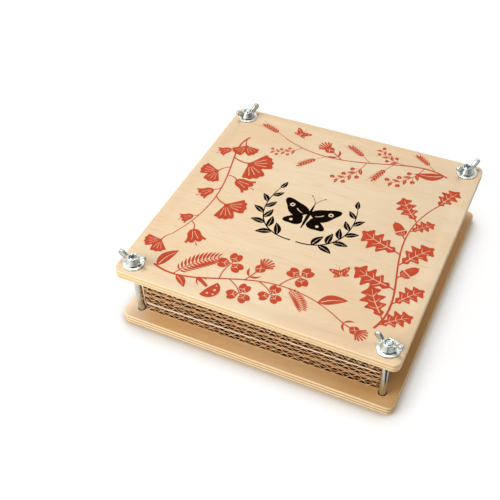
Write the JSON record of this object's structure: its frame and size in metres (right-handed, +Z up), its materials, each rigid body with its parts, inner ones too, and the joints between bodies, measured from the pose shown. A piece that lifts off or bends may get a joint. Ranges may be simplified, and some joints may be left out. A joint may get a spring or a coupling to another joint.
{
  "type": "flower press",
  "caption": "Square flower press: plywood boards on corner bolts, drawn down by wing nuts over a pile of corrugated cards and blotting papers.",
  "frame": {"origin": "centre of the bottom board's underside, on the surface that the press stands on", "axes": "+Z up along the bolts, -Y towards the front edge, +X to the right seen from the front"},
  "size_m": [0.2, 0.2, 0.0619],
  "materials": {
    "birch_top": "pale birch plywood, satin, printed",
    "birch_base": "birch plywood, satin",
    "zinc_bolt": "bright zinc plate",
    "zinc_washer": "bright zinc plate",
    "zinc_nut": "zinc plate over a cast surface",
    "kraft_card": "brown kraft, matt",
    "blotting_paper": "soft white blotting paper, matt"
  },
  "bodies": {
    "base": {"bottom_board": "birch_base", "bolt_front_left": "zinc_bolt", "bolt_front_right": "zinc_bolt", "bolt_back_right": "zinc_bolt", "bolt_back_left": "zinc_bolt"},
    "card_1": {"card_1": "kraft_card"},
    "blotter_1_lower": {"blotter_1_lower": "blotting_paper"},
    "blotter_1_upper": {"blotter_1_upper": "blotting_paper"},
    "card_2": {"card_2": "kraft_card"},
    "blotter_2_lower": {"blotter_2_lower": "blotting_paper"},
    "blotter_2_upper": {"blotter_2_upper": "blotting_paper"},
    "card_3": {"card_3": "kraft_card"},
    "blotter_3_lower": {"blotter_3_lower": "blotting_paper"},
    "blotter_3_upper": {"blotter_3_upper": "blotting_paper"},
    "card_4": {"card_4": "kraft_card"},
    "blotter_4_lower": {"blotter_4_lower": "blotting_paper"},
    "blotter_4_upper": {"blotter_4_upper": "blotting_paper"},
    "card_5": {"card_5": "kraft_card"},
    "blotter_5_lower": {"blotter_5_lower": "blotting_paper"},
    "blotter_5_upper": {"blotter_5_upper": "blotting_paper"},
    "card_6": {"card_6": "kraft_card"},
    "blotter_6_lower": {"blotter_6_lower": "blotting_paper"},
    "blotter_6_upper": {"blotter_6_upper": "blotting_paper"},
    "card_7": {"card_7": "kraft_card"},
    "blotter_7_lower": {"blotter_7_lower": "blotting_paper"},
    "blotter_7_upper": {"blotter_7_upper": "blotting_paper"},
    "card_8": {"card_8": "kraft_card"},
    "blotter_8_lower": {"blotter_8_lower": "blotting_paper"},
    "blotter_8_upper": {"blotter_8_upper": "blotting_paper"},
    "card_9": {"card_9": "kraft_card"},
    "top_board": {"top_board": "birch_top"},
    "washer_front_left": {"washer_front_left": "zinc_washer"},
    "wing_nut_front_left": {"wing_nut_front_left": "zinc_nut"},
    "washer_front_right": {"washer_front_right": "zinc_washer"},
    "wing_nut_front_right": {"wing_nut_front_right": "zinc_nut"},
    "washer_back_right": {"washer_back_right": "zinc_washer"},
    "wing_nut_back_right": {"wing_nut_back_right": "zinc_nut"},
    "washer_back_left": {"washer_back_left": "zinc_washer"},
    "wing_nut_back_left": {"wing_nut_back_left": "zinc_nut"}
  },
  "joints": [
    {"name": "card_1_lift", "type": "slide", "parent": "base", "child": "card_1", "axis": [0, 0, 1], "range_m": [0, 0.055]},
    {"name": "blotter_1_lower_lift", "type": "slide", "parent": "card_1", "child": "blotter_1_lower", "axis": [0, 0, 1], "range_m": [0, 0.055]},
    {"name": "blotter_1_upper_lift", "type": "slide", "parent": "blotter_1_lower", "child": "blotter_1_upper", "axis": [0, 0, 1], "range_m": [0, 0.055]},
    {"name": "card_2_lift", "type": "slide", "parent": "blotter_1_upper", "child": "card_2", "axis": [0, 0, 1], "range_m": [0, 0.055]},
    {"name": "blotter_2_lower_lift", "type": "slide", "parent": "card_2", "child": "blotter_2_lower", "axis": [0, 0, 1], "range_m": [0, 0.055]},
    {"name": "blotter_2_upper_lift", "type": "slide", "parent": "blotter_2_lower", "child": "blotter_2_upper", "axis": [0, 0, 1], "range_m": [0, 0.055]},
    {"name": "card_3_lift", "type": "slide", "parent": "blotter_2_upper", "child": "card_3", "axis": [0, 0, 1], "range_m": [0, 0.055]},
    {"name": "blotter_3_lower_lift", "type": "slide", "parent": "card_3", "child": "blotter_3_lower", "axis": [0, 0, 1], "range_m": [0, 0.055]},
    {"name": "blotter_3_upper_lift", "type": "slide", "parent": "blotter_3_lower", "child": "blotter_3_upper", "axis": [0, 0, 1], "range_m": [0, 0.055]},
    {"name": "card_4_lift", "type": "slide", "parent": "blotter_3_upper", "child": "card_4", "axis": [0, 0, 1], "range_m": [0, 0.055]},
    {"name": "blotter_4_lower_lift", "type": "slide", "parent": "card_4", "child": "blotter_4_lower", "axis": [0, 0, 1], "range_m": [0, 0.055]},
    {"name": "blotter_4_upper_lift", "type": "slide", "parent": "blotter_4_lower", "child": "blotter_4_upper", "axis": [0, 0, 1], "range_m": [0, 0.055]},
    {"name": "card_5_lift", "type": "slide", "parent": "blotter_4_upper", "child": "card_5", "axis": [0, 0, 1], "range_m": [0, 0.055]},
    {"name": "blotter_5_lower_lift", "type": "slide", "parent": "card_5", "child": "blotter_5_lower", "axis": [0, 0, 1], "range_m": [0, 0.055]},
    {"name": "blotter_5_upper_lift", "type": "slide", "parent": "blotter_5_lower", "child": "blotter_5_upper", "axis": [0, 0, 1], "range_m": [0, 0.055]},
    {"name": "card_6_lift", "type": "slide", "parent": "blotter_5_upper", "child": "card_6", "axis": [0, 0, 1], "range_m": [0, 0.055]},
    {"name": "blotter_6_lower_lift", "type": "slide", "parent": "card_6", "child": "blotter_6_lower", "axis": [0, 0, 1], "range_m": [0, 0.055]},
    {"name": "blotter_6_upper_lift", "type": "slide", "parent": "blotter_6_lower", "child": "blotter_6_upper", "axis": [0, 0, 1], "range_m": [0, 0.055]},
    {"name": "card_7_lift", "type": "slide", "parent": "blotter_6_upper", "child": "card_7", "axis": [0, 0, 1], "range_m": [0, 0.055]},
    {"name": "blotter_7_lower_lift", "type": "slide", "parent": "card_7", "child": "blotter_7_lower", "axis": [0, 0, 1], "range_m": [0, 0.055]},
    {"name": "blotter_7_upper_lift", "type": "slide", "parent": "blotter_7_lower", "child": "blotter_7_upper", "axis": [0, 0, 1], "range_m": [0, 0.055]},
    {"name": "card_8_lift", "type": "slide", "parent": "blotter_7_upper", "child": "card_8", "axis": [0, 0, 1], "range_m": [0, 0.055]},
    {"name": "blotter_8_lower_lift", "type": "slide", "parent": "card_8", "child": "blotter_8_lower", "axis": [0, 0, 1], "range_m": [0, 0.055]},
    {"name": "blotter_8_upper_lift", "type": "slide", "parent": "blotter_8_lower", "child": "blotter_8_upper", "axis": [0, 0, 1], "range_m": [0, 0.055]},
    {"name": "card_9_lift", "type": "slide", "parent": "blotter_8_upper", "child": "card_9", "axis": [0, 0, 1], "range_m": [0, 0.055]},
    {"name": "top_board_lift", "type": "slide", "parent": "card_9", "child": "top_board", "axis": [0, 0, 1], "range_m": [0, 0.055]},
    {"name": "wing_nut_front_left_rise", "type": "slide", "parent": "top_board", "child": "washer_front_left", "axis": [0, 0, 1], "range_m": [0, 0.0052]},
    {"name": "wing_nut_front_left_turn", "type": "hinge", "parent": "washer_front_left", "child": "wing_nut_front_left", "pos_m": [-0.0895, -0.0895, 0.05323], "axis": [0, 0, 1], "range_deg": [0, 2340]},
    {"name": "wing_nut_front_right_rise", "type": "slide", "parent": "top_board", "child": "washer_front_right", "axis": [0, 0, 1], "range_m": [0, 0.0052]},
    {"name": "wing_nut_front_right_turn", "type": "hinge", "parent": "washer_front_right", "child": "wing_nut_front_right", "pos_m": [0.0895, -0.0895, 0.05323], "axis": [0, 0, 1], "range_deg": [0, 2340]},
    {"name": "wing_nut_back_right_rise", "type": "slide", "parent": "top_board", "child": "washer_back_right", "axis": [0, 0, 1], "range_m": [0, 0.0052]},
    {"name": "wing_nut_back_right_turn", "type": "hinge", "parent": "washer_back_right", "child": "wing_nut_back_right", "pos_m": [0.0895, 0.0895, 0.05323], "axis": [0, 0, 1], "range_deg": [0, 2340]},
    {"name": "wing_nut_back_left_rise", "type": "slide", "parent": "top_board", "child": "washer_back_left", "axis": [0, 0, 1], "range_m": [0, 0.0052]},
    {"name": "wing_nut_back_left_turn", "type": "hinge", "parent": "washer_back_left", "child": "wing_nut_back_left", "pos_m": [-0.0895, 0.0895, 0.05323], "axis": [0, 0, 1], "range_deg": [0, 2340]}
  ],
  "couplings": [
    {"joint": "wing_nut_front_left_turn", "follows": "wing_nut_front_left_rise", "rad_per_m": 7854},
    {"joint": "wing_nut_front_right_turn", "follows": "wing_nut_front_right_rise", "rad_per_m": 7854},
    {"joint": "wing_nut_back_right_turn", "follows": "wing_nut_back_right_rise", "rad_per_m": 7854},
    {"joint": "wing_nut_back_left_turn", "follows": "wing_nut_back_left_rise", "rad_per_m": 7854}
  ]
}
